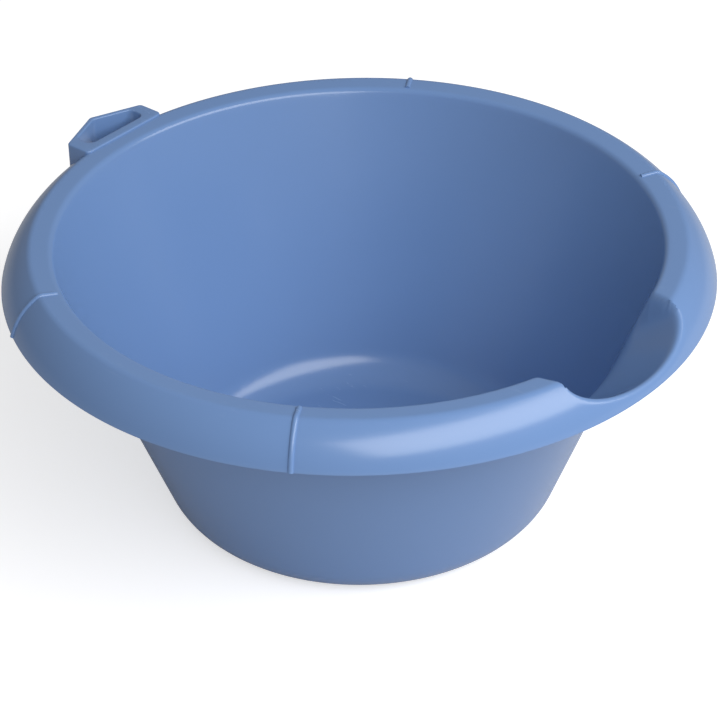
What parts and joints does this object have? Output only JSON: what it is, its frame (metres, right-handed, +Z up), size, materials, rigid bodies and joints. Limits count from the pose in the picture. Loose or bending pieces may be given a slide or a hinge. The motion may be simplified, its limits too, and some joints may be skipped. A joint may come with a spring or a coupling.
{
  "type": "wash basin",
  "caption": "Round plastic wash basin with tapered walls, a broad down-turned rim, a pouring lip on one side and a slotted hanging eye opposite.",
  "frame": {"origin": "centre of the underside, on the surface that the basin stands on", "axes": "+Z up along the bowl's axis, +X from the axis towards the pouring lip, -X towards the hanging eye"},
  "size_m": [0.389, 0.38, 0.164],
  "materials": {
    "basin": "satin-gloss mid blue polypropylene, coloured through"
  },
  "bodies": {
    "root": {"base": "basin", "side_wall": "basin", "rim_crest": "basin", "rim_skirt": "basin", "pouring_lip": "basin", "hanging_eye": "basin", "rim_bead_1": "basin", "rim_bead_2": "basin", "rim_bead_3": "basin", "rim_bead_4": "basin"}
  },
  "joints": []
}
